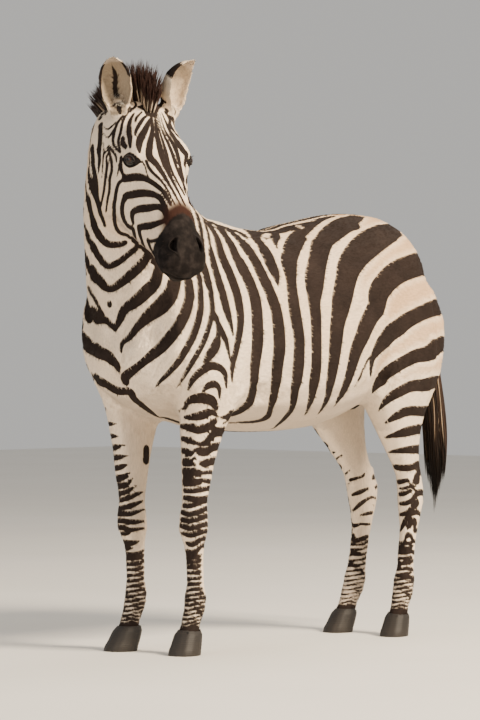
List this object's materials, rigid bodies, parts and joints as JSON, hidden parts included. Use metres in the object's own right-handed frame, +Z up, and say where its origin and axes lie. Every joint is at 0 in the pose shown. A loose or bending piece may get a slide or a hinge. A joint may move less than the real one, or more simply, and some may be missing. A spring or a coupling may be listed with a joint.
{
  "type": "zebra, life-size still model",
  "caption": "Still life-size plains zebra stallion standing on its hooves with its head raised and turned to its left.",
  "frame": {"origin": "on the floor, under the middle of the animal's bounding box", "axes": "+Z up; the trunk faces -Y, so the breast is towards -Y and the rump towards +Y; +X is the animal's left"},
  "size_m": [0.6686, 1.5756, 1.7325],
  "materials": {
    "coat": "short flat hair, black-brown stripes on cream, tan on the rump",
    "ear_skin": "short hair, cream inside with a dark rim and a white tip",
    "mane_hair": "stiff upright hair, striped at its root and dark at its tips",
    "tail_hair": "long coarse black-brown hair",
    "eye": "wet, dark brown iris with a level oval pupil",
    "hoof": "horn with fine growth rings, worn and dusty at the edge"
  },
  "bodies": {
    "root": {"trunk": "coat", "neck": "coat", "head": "coat", "mane": "mane_hair", "tail_dock": "coat", "tail_hair": "tail_hair", "eye_left": "eye", "eye_right": "eye", "ear_left": "ear_skin", "ear_right": "ear_skin", "leg_front_left": "coat", "leg_front_right": "coat", "leg_hind_left": "coat", "leg_hind_right": "coat", "hoof_front_left": "hoof", "hoof_front_right": "hoof", "hoof_hind_left": "hoof", "hoof_hind_right": "hoof"}
  },
  "joints": []
}
